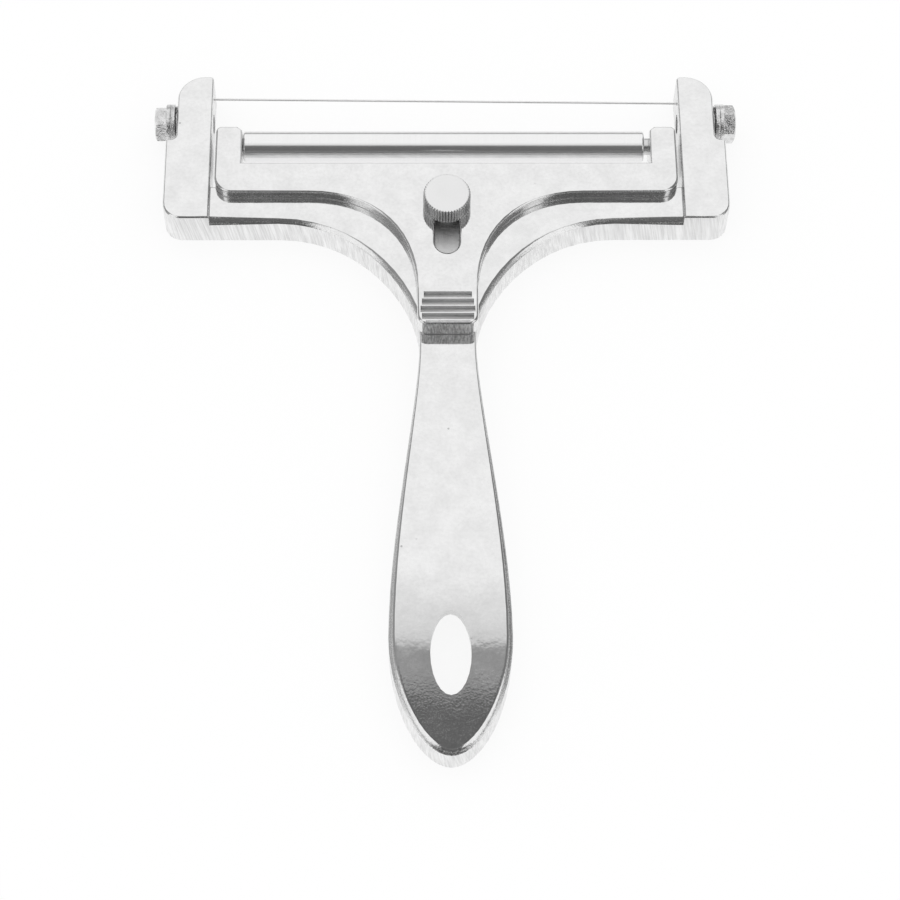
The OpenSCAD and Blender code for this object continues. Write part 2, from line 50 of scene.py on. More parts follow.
class Link:  # an output socket, so that shader maths reads as plain expressions
    def __init__(self, nodes, socket):
        self.nodes = nodes
        self.socket = socket

    def output(self, name):  # another output of the same node
        return Link(self.nodes, self.socket.node.outputs[name])

    def maths(self, operation, first, second=0.0):
        return self.nodes.add("ShaderNodeMath", {"operation": operation}, {0: first, 1: second})

    def __add__(self, other):
        return self.maths("ADD", self, other)

    def __radd__(self, other):
        return self.maths("ADD", other, self)

    def __sub__(self, other):
        return self.maths("SUBTRACT", self, other)

    def __rsub__(self, other):
        return self.maths("SUBTRACT", other, self)

    def __mul__(self, other):
        return self.maths("MULTIPLY", self, other)

    def __truediv__(self, other):
        return self.maths("DIVIDE", self, other)

    def __mod__(self, other):
        return self.maths("MODULO", self, other)

    def __abs__(self):
        return self.maths("ABSOLUTE", self)

    def root(self):
        return self.maths("SQRT", self)

    def atLeast(self, other):
        return self.maths("MAXIMUM", self, other)

    def atMost(self, other):
        return self.maths("MINIMUM", self, other)

    def rise(self, low, high):  # 0 below low and 1 above high, smooth between them
        return self.nodes.add(
            "ShaderNodeMapRange",
            {"interpolation_type": "SMOOTHSTEP"},
            {"Value": self, "From Min": low, "From Max": high},
        )

    def fall(self, low, high):  # 1 below low and 0 above high
        return 1 - self.rise(low, high)


class Nodes:  # a node tree that starts empty
    def __init__(self, tree):
        self.tree = tree
        tree.nodes.clear()

    def add(self, kind, settings=None, sockets=None, output=0):
        made = self.tree.nodes.new(kind)
        for name, value in (settings or {}).items():
            setattr(made, name, value)
        for key, value in (sockets or {}).items():
            if isinstance(value, Link):
                self.tree.links.new(value.socket, made.inputs[key])
            else:
                made.inputs[key].default_value = value
        return Link(self, made.outputs[output]) if made.outputs else None

    def axes(self, vector):  # its X, Y and Z
        x = self.add("ShaderNodeSeparateXYZ", sockets={0: vector})
        return x, x.output("Y"), x.output("Z")

    def place(self):  # where a point lies in its object's space
        return self.add("ShaderNodeTexCoord", output="Object")

    def facing(self):  # the surface's own direction
        return self.axes(self.add("ShaderNodeNewGeometry", output="Normal"))

    def grey(self, value):  # a grey colour from a value
        return self.add("ShaderNodeCombineColor", sockets={0: value, 1: value, 2: value})


# Camera, at the photograph's place

cameraSizes = {
    "place": (-7.49 * mm, -255.63 * mm, 457.43 * mm),
    "turn": (0.4951, -0.0150, -0.0018),  # about X, Y and Z, the Z turn first
    "lens": 106.32,
}
camera = bpy.data.objects.new("photoCamera", bpy.data.cameras.new("photoCamera"))
scene.collection.objects.link(camera)
camera.location = cameraSizes["place"]
camera.rotation_mode = "ZYX"
camera.rotation_euler = cameraSizes["turn"]
camera.data.lens = cameraSizes["lens"]
scene.camera = camera


# The studio: white floor and surroundings, two white cards at the sides, a dark flag overhead.
# Pairs of values are where a soft edge starts and ends.

studioSizes = {
    "floorHalf": 3.0,
    "floorDrop": 0.05 * mm,
    "floorWhite": 0.86,  # how much of the floor is plain white, free of shadow
    "shadeInner": (20 * mm, 32 * mm),  # the darker strips beside the handle, seen in the metal
    "shadeOuter": (150 * mm, 170 * mm),
    "shadeFront": (-74 * mm, -50 * mm),
    "shadeBack": (14 * mm, 38 * mm),
    "shadeMiddle": (-10 * mm, 10 * mm),
    "shadeLeft": 0.62,
    "shadeMore": 0.16,  # added at the right
    "flagHeight": 129 * mm,
    "flagHalfWidth": 75 * mm,
    "flagFront": -165 * mm,  # along Y
    "flagRim": (-12 * mm, -10 * mm),  # where its grey rim starts
    "flagSoft": (1 * mm, 2 * mm),  # where its soft strip starts
    "flagEdge": 1.5 * mm,  # from here the soft strip grows brighter
    "flagBack": 19.5 * mm,
    "flagLevel": 0.13,
    "rimLevel": 0.2,  # added to the flag's level, as are the next two
    "softLevel": 0.39,
    "fadeLevel": 0.25,
    "cardAside": 175 * mm,
    "cardSide": [  # Y and Z in mm
        (-270, 95),
        (-165, 22),
        (-20, 22),
        (-20, 330),
        (-150, 330),
        (-262, 170),
    ],
}


def newPiece(name, mesh):
    made = bpy.data.objects.new(name, mesh)
    scene.collection.objects.link(made)
    return made


def plane(name, corners, material):
    mesh = bpy.data.meshes.new(name)
    mesh.from_pydata(corners, [], [list(range(len(corners)))])
    mesh.materials.append(material)
    made = newPiece(name, mesh)
    return made


def reflectedOnly(card):  # seen in the metal, but neither in the picture nor as light
    card.visible_camera = False
    card.visible_diffuse = False
    card.visible_shadow = False


def newMaterial(name):
    made = bpy.data.materials.new(name)
    made.use_nodes = True
    return made, Nodes(made.node_tree)


def emitting(nodes, strength):
    return nodes.add("ShaderNodeEmission", sockets={"Color": (1, 1, 1, 1), "Strength": strength})


def shownWhite(nodes):  # 1 for the rays that should see the plain white background
    path = nodes.add("ShaderNodeLightPath")
    return (
        path.output("Is Camera Ray")
        .atLeast(path.output("Is Glossy Ray"))
        .atLeast(path.output("Is Transmission Ray"))
    )


def floorMaterial():
    made, nodes = newMaterial("whiteFloor")
    x, y = nodes.axes(nodes.place())[:2]
    aside = abs(x).rise(*studioSizes["shadeInner"]) * abs(x).fall(*studioSizes["shadeOuter"])
    along = y.rise(*studioSizes["shadeFront"]) * y.fall(*studioSizes["shadeBack"])
    depth = studioSizes["shadeLeft"] + (
        x.rise(*studioSizes["shadeMiddle"]) * studioSizes["shadeMore"]
    )
    shade = nodes.add("ShaderNodeLightPath", output="Is Glossy Ray") * aside * along * depth
    lit = nodes.add("ShaderNodeBsdfDiffuse", sockets={"Color": nodes.grey(1 - shade)})
    white = shownWhite(nodes) * studioSizes["floorWhite"]
    shown = nodes.add(
        "ShaderNodeMixShader", sockets={0: white, 1: lit, 2: emitting(nodes, 1 - shade)}
    )
    nodes.add("ShaderNodeOutputMaterial", sockets={"Surface": shown})
    return made


def flagMaterial():
    made, nodes = newMaterial("darkFlag")
    along = nodes.axes(nodes.place())[1]
    edge, end = studioSizes["flagEdge"], studioSizes["flagBack"]
    rim = along.rise(*studioSizes["flagRim"]) * studioSizes["rimLevel"]
    soft = along.rise(*studioSizes["flagSoft"]) * studioSizes["softLevel"]
    fade = ((along - edge) / (end - edge)).atLeast(0.0) * studioSizes["fadeLevel"]
    level = studioSizes["flagLevel"] + rim + soft + fade
    nodes.add("ShaderNodeOutputMaterial", sockets={"Surface": emitting(nodes, level)})
    return made


def cardMaterial():
    made, nodes = newMaterial("whiteCard")
    nodes.add("ShaderNodeOutputMaterial", sockets={"Surface": emitting(nodes, 1.0)})
    return made


worldSizes = {  # a pair is a range of a direction's turn away from +Y, or of its X or Z
    "horizon": (0.26, 0.32),
    "backTurn": (0.62, 0.8),
    "lowTurn": (1.2, 1.5),
    "lowLevel": 0.4,
    "gapLevel": 0.3,
    "gapMiddle": (-0.1, 0.1),
    "gapLess": 0.1,  # taken off at the right
    "zenith": (0.86, 0.97),
    "zenithFront": (0.85, 1.0),
    "zenithTurn": (1.9, 2.3),
    "frontTurn": (2.0, 2.5),
    "frontLevel": 0.1,
    "frontRise": (0.1, 0.9),
    "frontMore": 0.08,
    "frontTop": (0.8, 0.99),
    "frontTopMore": 0.6,
}


def studioWorld():  # even white light, but the metal sees grey in front and between the whites
    world = bpy.data.worlds.new("studio")
    scene.world = world
    world.use_nodes = True
    nodes = Nodes(world.node_tree)
    x, y, z = nodes.axes(nodes.add("ShaderNodeTexCoord", output="Generated"))
    turn = x.maths("ARCTAN2", abs(x), y)  # 0 towards +Y, pi towards -Y

    horizon = worldSizes["horizon"]
    back = turn.fall(*worldSizes["backTurn"]) * z.rise(*horizon)
    low = turn.fall(*worldSizes["lowTurn"]) * z.fall(*horizon) * worldSizes["lowLevel"]
    overhead = 1 - z.fall(*worldSizes["zenithFront"]) * turn.rise(*worldSizes["zenithTurn"])
    above = z.rise(*worldSizes["zenith"]) * overhead
    gap = worldSizes["gapLevel"] - x.rise(*worldSizes["gapMiddle"]) * worldSizes["gapLess"]
    front = (
        worldSizes["frontLevel"]
        + z.rise(*worldSizes["frontRise"]) * worldSizes["frontMore"]
        + z.rise(*worldSizes["frontTop"]) * worldSizes["frontTopMore"]
    )
    ahead = turn.rise(*worldSizes["frontTurn"])
    seen = (gap.atLeast(low) * (1 - ahead) + front * ahead).atLeast(above).atLeast(back)
    level = 1 - nodes.add("ShaderNodeLightPath", output="Is Glossy Ray") * (1 - seen)
    light = nodes.add("ShaderNodeBackground", sockets={"Color": (1, 1, 1, 1), "Strength": level})
    nodes.add("ShaderNodeOutputWorld", sockets={"Surface": light})


def makeStudio():
    half = studioSizes["floorHalf"]
    corners = [(-half, -half), (half, -half), (half, half), (-half, half)]
    floor = [(x, y, -studioSizes["floorDrop"]) for x, y in corners]
    plane("whiteFloor", floor, floorMaterial())

    wide, high = studioSizes["flagHalfWidth"], studioSizes["flagHeight"]
    front, back = studioSizes["flagFront"], studioSizes["flagBack"]
    flag = [(-wide, front, high), (wide, front, high), (wide, back, high), (-wide, back, high)]
    reflectedOnly(plane("darkFlag", flag, flagMaterial()))

    white, aside = cardMaterial(), studioSizes["cardAside"]
    for name, x in (("leftCard", -aside), ("rightCard", aside)):
        side = [(x, y * mm, z * mm) for y, z in studioSizes["cardSide"]]
        reflectedOnly(plane(name, side, white))
    studioWorld()


makeStudio()
print("studio ready")


# Finishes. The noise scales are per metre.

def metal(nodes, shade, roughness, height, depth):  # grey metal with its bumps
    bump = nodes.add(
        "ShaderNodeBump", sockets={"Height": height, "Strength": 1.0, "Distance": depth}
    )
    surface = nodes.add(
        "ShaderNodeBsdfPrincipled",
        sockets={
            "Base Color": nodes.grey(shade),
            "Roughness": roughness,
            "Metallic": 1.0,
            "Normal": bump,
        },
    )
    nodes.add("ShaderNodeOutputMaterial", sockets={"Surface": surface})


def noise(nodes, place, scale, detail=2.0, roughness=0.5):
    return nodes.add(
        "ShaderNodeTexNoise",
        sockets={"Vector": place, "Scale": scale, "Detail": detail, "Roughness": roughness},
    )


def stretched(nodes, place, size, turn=(0, 0, 0)):  # a space whose unit is size, turned by turn
    return nodes.add(
        "ShaderNodeMapping",
        {"vector_type": "TEXTURE"},
        {"Vector": place, "Rotation": turn, "Scale": size},
    )


castSizes = {
    "cloud": 230.0,
    "mottle": 1300.0,
    "grain": 3300.0,
    "pebble": 2100.0,
    "peel": 700.0,
    "pit": 330.0,
    "pitShare": (0.88, 0.93),  # few of the cells hold a pit
    "pitEdge": (0.04, 0.1),
    "layer": (16 * mm, 16 * mm, 0.42 * mm),  # the polishing lines along the edges
    "edge": (0.8, 0.97),  # a face's upward share, and an edge has less
    "pebbles": (-62 * mm, -55 * mm),  # where the pebbled end of the handle fades, along Y
    "slotAside": (3 * mm, 3.3 * mm),  # the strip under the carriage's slot: rougher, and painted darker as shade of the clamp screw's head
    "slotFront": (27 * mm, 28 * mm),
    "slotBack": (47 * mm, 48 * mm),
    "gripAside": (5.45 * mm, 5.55 * mm),  # the carriage's grip grooves: rougher, and painted darker as shade
    "gripFront": (14.3 * mm, 14.5 * mm),
    "gripBack": (21.1 * mm, 21.3 * mm),
    "gripFloor": (10.3 * mm, 10.5 * mm),  # along Z
    "gripCrest": (11.06 * mm, 11.17 * mm),
    "shade": 0.72,
    "cloudShade": 0.08,
    "mottleShade": 0.12,
    "pitShade": 0.35,  # taken off, as are the next two
    "slotPaintedShade": 0.1,
    "gripPaintedShade": 0.12,
    "roughness": 0.04,
    "cloudRoughness": 0.04,
    "mottleRoughness": 0.02,
    "grainRoughness": 0.13,
    "edgeGrain": 1.5,  # against the pebbled end's 1
    "layerRoughness": 0.16,
    "slotRoughness": 0.34,
    "gripRoughness": 0.3,
    "depth": 0.12 * mm,  # of the heights below
    "peelHeight": 0.05,
    "pebbleHeight": 0.014,
    "endHeight": 0.085,  # added for the pebbles at the handle's end
    "pitHeight": 0.1,
    "grainHeight": 0.11,
}


def castFace(name, isRubbedAndShaded):  # bright plated face: clouding, pits, pebbles at the handle's end, and painted shade under the frame's slot or in the carriage's grip grooves
    made, nodes = newMaterial(name)
    place = nodes.place()
    x, y, z = nodes.axes(place)
    cloud = noise(nodes, place, castSizes["cloud"], detail=4.0, roughness=0.6)
    mottle = noise(nodes, place, castSizes["mottle"])
    peel = noise(nodes, place, castSizes["peel"], detail=1.0)
    pebble = noise(nodes, place, castSizes["pebble"], detail=1.0)
    grain = noise(nodes, place, castSizes["grain"], detail=3.0, roughness=0.65)
    layer = noise(nodes, stretched(nodes, place, castSizes["layer"]), scale=1.0, detail=1.0)
    cell = nodes.add(
        "ShaderNodeTexVoronoi",
        sockets={"Vector": place, "Scale": castSizes["pit"]},
        output="Distance",
    )
    chosen = nodes.axes(cell.output("Color"))[0].rise(*castSizes["pitShare"])
    pit = chosen * cell.fall(*castSizes["pitEdge"])
    rough = y.fall(*castSizes["pebbles"])
    edge = nodes.facing()[2].fall(*castSizes["edge"])

    shade = castSizes["shade"] + cloud.rise(0.25, 0.75) * castSizes["cloudShade"]
    shade = shade + mottle * castSizes["mottleShade"] - pit * castSizes["pitShade"]
    roughness = (
        castSizes["roughness"]
        + cloud.rise(0.4, 0.75) * castSizes["cloudRoughness"]
        + mottle * castSizes["mottleRoughness"]
        + grain.rise(0.42, 0.64)
        * rough.atLeast(edge * castSizes["edgeGrain"])
        * castSizes["grainRoughness"]
        + edge * layer.rise(0.5, 0.62) * castSizes["layerRoughness"]
    )
    height = (
        peel * castSizes["peelHeight"]
        + pebble * (castSizes["pebbleHeight"] + rough * castSizes["endHeight"])
        - pit * castSizes["pitHeight"]
        + grain * edge * castSizes["grainHeight"]
    )
    if isRubbedAndShaded:
        # painted shade: the strip under the slot is darker, standing in for the shade and
        # reflection of the clamp screw's head; its extra roughness is rubbing
        dullAndShaded = (
            abs(x).fall(*castSizes["slotAside"])
            * y.rise(*castSizes["slotFront"])
            * y.fall(*castSizes["slotBack"])
        )
        shade = shade - dullAndShaded * castSizes["slotPaintedShade"]
        roughness = roughness + dullAndShaded * castSizes["slotRoughness"]
    else:
        # painted shade: the grip's grooves are darker, standing in for the shade in them; they are
        # also rougher
        dullAndShaded = (
            abs(x).fall(*castSizes["gripAside"])
            * y.rise(*castSizes["gripFront"])
            * y.fall(*castSizes["gripBack"])
            * z.rise(*castSizes["gripFloor"])
            * z.fall(*castSizes["gripCrest"])
        )
        shade = shade - dullAndShaded * castSizes["gripPaintedShade"]
        roughness = roughness + dullAndShaded * castSizes["gripRoughness"]
    metal(nodes, shade, roughness, height, castSizes["depth"])
    return made


gateSizes = {
    "streak": (0.24 * mm, 0.24 * mm, 1.8 * mm),
    "grain": 3800.0,
    "shade": 0.4,
    "streakShade": 0.35,
    "grainShade": 0.2,
    "roughness": 0.35,
    "depth": 0.2 * mm,
}


def castGate():  # the broken-off gate at the end of the carriage's tongue
    made, nodes = newMaterial("castGate")
    place = nodes.place()
    drawn = stretched(nodes, place, gateSizes["streak"])
    streak = noise(nodes, drawn, scale=1.0, roughness=0.6).rise(0.4, 0.6)
    grain = noise(nodes, place, gateSizes["grain"], detail=3.0, roughness=0.7).rise(0.35, 0.65)
    shade = gateSizes["shade"] + streak * gateSizes["streakShade"] + grain * gateSizes["grainShade"]
    metal(nodes, shade, gateSizes["roughness"], streak + grain, gateSizes["depth"])
    return made


# painted shade: the throat's dark grey stands in for the dark reflection that the roller shows
throatSizes = {
    "cloud": 420.0,
    "grain": 2600.0,
    "shade": 0.14,
    "cloudShade": 0.1,
    "grainShade": 0.14,
    "roughness": 0.3,
    "depth": 0.03 * mm,
}


def throatPaintedShade():  # the wall that faces the roller: rough, and painted dark as shade for the dark band that the roller reflects
    made, nodes = newMaterial("throatPaintedShade")
    place = nodes.place()
    cloud = noise(nodes, place, throatSizes["cloud"], detail=3.0, roughness=0.6)
    grain = noise(nodes, place, throatSizes["grain"], detail=3.0, roughness=0.6)
    shade = (
        throatSizes["shade"]
        + cloud * throatSizes["cloudShade"]
        + grain * throatSizes["grainShade"]
    )
    metal(nodes, shade, throatSizes["roughness"], grain, throatSizes["depth"])
    return made


wallSizes = {
    "wide": (1.1 * mm, 1.1 * mm, 16 * mm),  # the strokes, coarse and fine
    "narrow": (0.28 * mm, 0.28 * mm, 8 * mm),
    "lean": (0, math.radians(-9), 0),  # from upright
    "wideShare": 0.45,
    "narrowShare": 0.55,
    "step": 48 * mm,  # the arms' inner sides, painted darker as shade where the yoke meets them
    "stepReach": (0.5 * mm, 0.7 * mm),
    "stepFacing": (0.6, 0.8),
    "stepEnd": (48.7 * mm, 49.2 * mm),
    "stepFoot": (6.8 * mm, 6.9 * mm),
    "stepPaintedShade": 0.3,  # painted shade, taken off, with the next one by the fine strokes
    "stepShadeStrokes": 0.4,
    "shade": 0.68,
    "strokeShade": 0.3,
    "roughness": 0.3,
    "strokeRoughness": 0.12,
    "depth": 0.03 * mm,
}


def castWall():  # side walls, belt-sanded in slanting strokes
    made, nodes = newMaterial("castWall")
    place = nodes.place()
    x, y, z = nodes.axes(place)
    wide = stretched(nodes, place, wallSizes["wide"], wallSizes["lean"])
    narrow = stretched(nodes, place, wallSizes["narrow"], wallSizes["lean"])
    coarse = noise(nodes, wide, scale=1.0, detail=3.0, roughness=0.7)
    fine = noise(nodes, narrow, scale=1.0)
    stroke = coarse.rise(0.3, 0.7) * wallSizes["wideShare"]
    stroke = stroke + fine.rise(0.3, 0.7) * wallSizes["narrowShare"]
    step = (
        abs(nodes.facing()[0]).rise(*wallSizes["stepFacing"])
        * abs(abs(x) - wallSizes["step"]).fall(*wallSizes["stepReach"])
        * y.fall(*wallSizes["stepEnd"])
        * z.rise(*wallSizes["stepFoot"])
    )
    shade = wallSizes["shade"] + stroke * wallSizes["strokeShade"]
    # painted shade in the corner where the yoke meets the arms' inner sides, broken up by the fine
    # strokes
    shade = shade - step * (wallSizes["stepPaintedShade"] + fine * wallSizes["stepShadeStrokes"])
    roughness = wallSizes["roughness"] + fine * wallSizes["strokeRoughness"]
    metal(nodes, shade, roughness, stroke, wallSizes["depth"])
    return made


backSizes = {
    "cloud": 180.0,
    "grain": 3600.0,
    "shade": 0.66,
    "roughness": 0.34,
    "clouding": 0.12,  # of both
    "depth": 0.04 * mm,
}


def castBack():  # the as-cast hollow behind and the hole's wall: dull and finely grained
    made, nodes = newMaterial("castBack")
    place = nodes.place()
    cloud = noise(nodes, place, backSizes["cloud"], detail=4.0, roughness=0.6)
    grain = noise(nodes, place, backSizes["grain"])
    shade = backSizes["shade"] + cloud * backSizes["clouding"]
    roughness = backSizes["roughness"] + cloud * backSizes["clouding"]
    metal(nodes, shade, roughness, grain + cloud, backSizes["depth"])
    return made


clampSizes = {  # above the finishes, because the turning marks run round its place
    "radius": 4.75 * mm,
    "head": 3.97 * mm,  # it clears the plate by a hair
    "topEdge": 0.5 * mm,
    "topSteps": 8,
    "footEdge": 0.5 * mm,
    "footSteps": 6,
    "shank": 2.25 * mm,
    "shankEdge": 0.3 * mm,
    "segments": 480,
    "grooves": 48.0,
    "grooveDepth": 0.5 * mm,
    "middle": 0.01 * mm,  # no point counts as nearer to the axis
    "sharp": math.radians(40),
    "place": (0, 42.7 * mm, 0),
}

turningSizes = {
    "cloud": 220.0,
    "cloudShade": 0.05,
    "markShade": 0.1,
    "meanShade": 0.075,  # what both add on the whole
    "cloudRoughness": 0.06,
}


def turnedMetal(name, shade, roughness, width, depth, axis):  # fine marks round the X or Z axis
    made, nodes = newMaterial(name)
    place = nodes.place()
    spot, y, z = nodes.axes(place)
    if axis == "Z":  # also rings on the flat top
        y = y - clampSizes["place"][1]
        spot = (spot * spot + y * y).root() + z
    lines = nodes.add("ShaderNodeCombineXYZ", sockets={0: spot / width, 1: 0.0, 2: 0.0})
    marks = noise(nodes, lines, scale=1.0, detail=3.0, roughness=0.7)
    cloud = noise(nodes, place, turningSizes["cloud"], detail=3.0)
    shade = shade + cloud * turningSizes["cloudShade"] + marks * turningSizes["markShade"]
    roughness = roughness + cloud * turningSizes["cloudRoughness"]
    metal(nodes, shade - turningSizes["meanShade"], roughness, marks, depth)
    return made


platingSizes = {
    "cloud": 700.0,
    "grain": 3400.0,
    "cloudShade": 0.24,
    "meanShade": 0.12,
    "cloudRoughness": 0.1,
    "cloudHeight": 1.5,
    "depth": 0.08 * mm,
}


def platedMetal(name, shade, roughness):  # worn plating with a fine grain
    made, nodes = newMaterial(name)
    place = nodes.place()
    cloud = noise(nodes, place, platingSizes["cloud"], detail=3.0, roughness=0.6)
    grain = noise(nodes, place, platingSizes["grain"])
    shade = shade + cloud.rise(0.3, 0.7) * platingSizes["cloudShade"] - platingSizes["meanShade"]
    roughness = roughness + cloud * platingSizes["cloudRoughness"]
    height = grain + cloud * platingSizes["cloudHeight"]
    metal(nodes, shade, roughness, height, platingSizes["depth"])
    return made


finishes = {  # shade and roughness, and the width, depth and axis of the turning marks
    "frameFace": castFace("frameFace", True),
    "carriageFace": castFace("carriageFace", False),
    "castWall": castWall(),
    "castBack": castBack(),
    "castGate": castGate(),
    "throatPaintedShade": throatPaintedShade(),
    "roller": turnedMetal("rollerMetal", 0.88, 0.15, 0.4 * mm, 0.008 * mm, "X"),
    "axle": turnedMetal("axleMetal", 0.7, 0.2, 0.5 * mm, 0.005 * mm, "X"),
    "knob": turnedMetal("knobMetal", 0.8, 0.18, 0.3 * mm, 0.006 * mm, "Z"),
    "wire": turnedMetal("wireMetal", 0.86, 0.3, 1.1 * mm, 0.002 * mm, "X"),
    "screw": platedMetal("screwMetal", 0.74, 0.1),
    "washer": platedMetal("washerMetal", 0.7, 0.12),
}
print("finishes ready:", len(finishes))


# Pieces

def smoothed(piece, sharp=math.radians(32)):  # smooth shading, with flat faces kept flat
    build = bmesh.new()
    build.from_mesh(piece.data)
    for face in build.faces:
        face.smooth = True
    for edge in build.edges:
        edge.smooth = len(edge.link_faces) == 2 and edge.calc_face_angle() < sharp
    build.to_mesh(piece.data)
    build.free()
    weighted = piece.modifiers.new("weighted", "WEIGHTED_NORMAL")
    weighted.mode = "FACE_AREA"
    weighted.keep_sharp = True
    return piece


def settled(piece):  # the modifiers' result as the piece's own mesh
    shown = piece.evaluated_get(bpy.context.evaluated_depsgraph_get())
    mesh = bpy.data.meshes.new_from_object(shown)
    piece.modifiers.clear()
    piece.data = mesh
    return piece


def cadCopy(node, name):  # a merged copy of a CAD node's mesh
    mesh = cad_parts[node].data.copy()
    build = bmesh.new()
    build.from_mesh(mesh)
    bmesh.ops.remove_doubles(build, verts=build.verts, dist=0.001 * mm)
    build.to_mesh(mesh)
    build.free()
    mesh.materials.clear()
    return newPiece(name, mesh)


def turned(name, profile, segments, axis="Z", place=(0, 0, 0)):  # a profile's points, turned
    build = bmesh.new()
    rings = []
    for radius, along in profile:
        if radius == 0:
            rings.append([build.verts.new((0, 0, along))] * segments)
            continue
        ring = []
        for i in range(segments):
            turn = 2 * math.pi * i / segments
            spot = (radius * math.cos(turn), radius * math.sin(turn), along)
            ring.append(build.verts.new(spot))
        rings.append(ring)
    for low, high in zip(rings, rings[1:]):
        for i in range(segments):
            j = (i + 1) % segments
            corners = [low[i], low[j], high[j], high[i]]
            different = [c for k, c in enumerate(corners) if c not in corners[:k]]
            if len(different) > 2:
                build.faces.new(different)
    if profile[0] == profile[-1]:
        bmesh.ops.remove_doubles(build, verts=build.verts, dist=0.0001 * mm)
    bmesh.ops.recalc_face_normals(build, faces=build.faces)
    mesh = bpy.data.meshes.new(name)
    build.to_mesh(mesh)
    build.free()
    if axis == "X":
        mesh.transform(Matrix.Rotation(math.pi / 2, 4, "Y"))
    mesh.transform(Matrix.Translation(place))
    return newPiece(name, mesh)


def rounded(corner, before, after, radius, steps=4):  # a profile corner, rounded
    corner = Vector(corner)
    start = corner + (Vector(before) - corner).normalized() * radius
    end = corner + (Vector(after) - corner).normalized() * radius
    return [
        tuple(start.lerp(corner, t).lerp(corner.lerp(end, t), t))
        for t in (i / steps for i in range(steps + 1))
    ]


def grown(piece, tree, values):  # runs a node tree on the piece, and keeps the plain mesh
    modifier = piece.modifiers.new(tree.name, "NODES")
    modifier.node_group = tree
    for item in tree.interface.items_tree:
        if item.in_out == "INPUT" and item.name in values:
            modifier[item.identifier] = values[item.name]
    return settled(piece)


def newTree(name, sizes):  # an empty geometry tree with named inputs
    tree = bpy.data.node_groups.new(name, "GeometryNodeTree")
    tree.interface.new_socket("Geometry", in_out="INPUT", socket_type="NodeSocketGeometry")
    for label, kind in sizes.items():
        tree.interface.new_socket(label, in_out="INPUT", socket_type=kind)
    tree.interface.new_socket("Geometry", in_out="OUTPUT", socket_type="NodeSocketGeometry")
    nodes = Nodes(tree)
    return tree, nodes, nodes.add("NodeGroupInput")


def finishTree(nodes, made, finish):  # real faces with their material
    real = nodes.add("GeometryNodeRealizeInstances", sockets={0: made})
    coated = nodes.add("GeometryNodeSetMaterial", sockets={"Geometry": real, "Material": finish})
    nodes.add("NodeGroupOutput", sockets={0: coated})


def finishCast(piece, keys, chosen):  # chosen gives a face's key
    for key in keys:
        piece.data.materials.append(finishes[key])
    for face in piece.data.polygons:
        face.material_index = keys.index(chosen(face))


facings = {  # limits of a face's direction, along the axis that each is compared with
    "back": -0.5,
    "wall": 0.1,
    "gate": -0.8,
    "throat": 0.65,
}

holeSizes = {  # the space round the hanging hole
    "half": 4.1 * mm,
    "low": -64 * mm,
    "high": -46 * mm,
}


def makeFrame():
    piece = cadCopy("frame", "frameCasting")

    def chosen(face):
        x, y, z = face.center
        upward, wall = face.normal.z, facings["wall"]
        inHole = abs(x) < holeSizes["half"] and holeSizes["low"] < y < holeSizes["high"]
        if upward < facings["back"] or (inHole and upward < wall):
            return "castBack"
        return "castWall" if abs(upward) < wall else "frameFace"

    finishCast(piece, ("frameFace", "castWall", "castBack"), chosen)
    settled(smoothed(piece))
    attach(piece, "frame")
    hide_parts("frame")


carriageSizes = {
    "gateReach": 0.5 * mm,  # from its front end
    "throat": 53 * mm,  # the wall behind the roller, along Y
    "throatReach": 0.8 * mm,
}


def makeCarriage():
    piece = cadCopy("roller_carriage", "rollerCarriage")
    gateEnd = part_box("roller_carriage")[0][1] + carriageSizes["gateReach"]
    throat, reach = carriageSizes["throat"], carriageSizes["throatReach"]

    def chosen(face):
        if face.normal.z < facings["back"]:
            return "castBack"
        if face.normal.y < facings["gate"] and face.center.y < gateEnd:
            return "castGate"
        if face.normal.y > facings["throat"] and abs(face.center.y - throat) < reach:
            return "throatPaintedShade"
        return "carriageFace"

    finishCast(piece, ("carriageFace", "castGate", "throatPaintedShade", "castBack"), chosen)
    settled(smoothed(piece))
    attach(piece, "carriage")
    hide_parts("roller_carriage")


rollerSizes = {
    "radius": 3.2 * mm,
    "bore": 1.8 * mm,
    "edge": 0.45 * mm,
    "segments": 96,
    "axleRadius": 1.75 * mm,
    "axleHalf": 46.75 * mm,
    "axleEdge": 0.25 * mm,
    "axleSegments": 64,
    "place": (0, 59.6 * mm, 5.2 * mm),  # of their shared axis
}


def makeRoller():
    radius, bore, edge = rollerSizes["radius"], rollerSizes["bore"], rollerSizes["edge"]
    low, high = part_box("roller")
    start, end = low[0], high[0]
    place = rollerSizes["place"]
    profile = [(bore, start)]
    profile += rounded((radius, start), (bore, start), (radius, end), edge)
    profile += rounded((radius, end), (radius, start), (bore, end), edge)
    profile += [(bore, end), (bore, start)]
    tube = turned("rollerTube", profile, rollerSizes["segments"], "X", place)
    tube.data.materials.append(finishes["roller"])
    settled(smoothed(tube))
    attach(tube, "roller")
    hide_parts("roller")

    radius, half, edge = rollerSizes["axleRadius"], rollerSizes["axleHalf"], rollerSizes["axleEdge"]
    profile = [(0, -half)]
    profile += rounded((radius, -half), (0, -half), (radius, half), edge)
    profile += rounded((radius, half), (radius, -half), (0, half), edge)
    profile += [(0, half)]
    rod = turned("rollerAxle", profile, rollerSizes["axleSegments"], "X", place)
    rod.data.materials.append(finishes["axle"])
    settled(smoothed(rod))
    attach(rod, "carriage")
    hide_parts("roller_axle")


